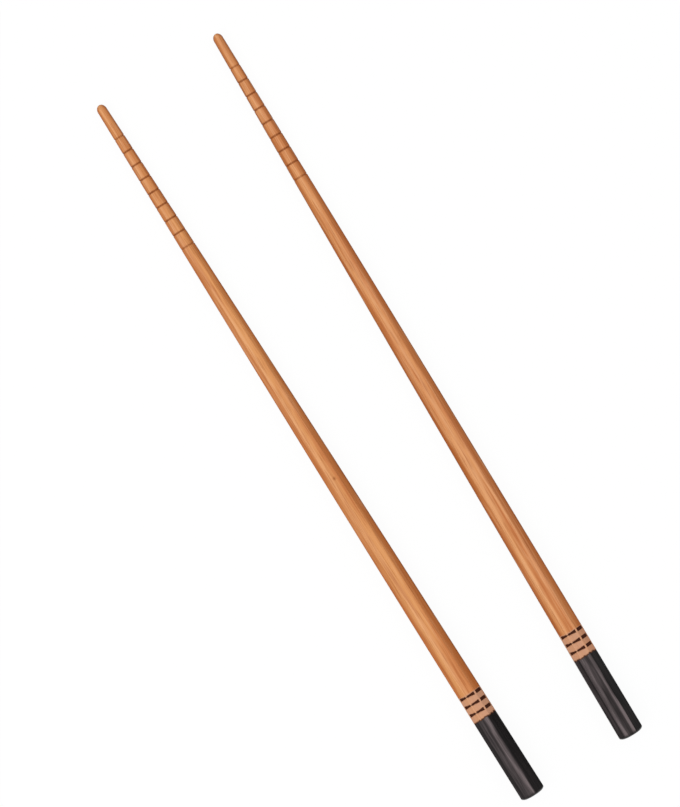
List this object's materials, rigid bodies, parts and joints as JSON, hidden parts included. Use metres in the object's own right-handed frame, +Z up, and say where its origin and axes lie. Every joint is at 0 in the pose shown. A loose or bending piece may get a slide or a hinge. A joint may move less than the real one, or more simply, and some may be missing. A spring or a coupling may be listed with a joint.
{
  "type": "pair of bamboo chopsticks",
  "caption": "Pair of bamboo chopsticks lying side by side: octagonal shafts that taper to round ringed tips, dark dashes and black lacquered handle ends.",
  "frame": {"origin": "centre of the pair, on the table that the two sticks lie on", "axes": "+Y from the handles to the tips, +X from the left stick to the right stick, +Z up from the table"},
  "size_m": [0.0434, 0.24, 0.0079],
  "materials": {
    "bamboo": "carbonised bamboo, satin lacquer, the handle end lacquered black"
  },
  "bodies": {
    "root": {"left_chopstick": "bamboo", "right_chopstick": "bamboo"}
  },
  "joints": []
}
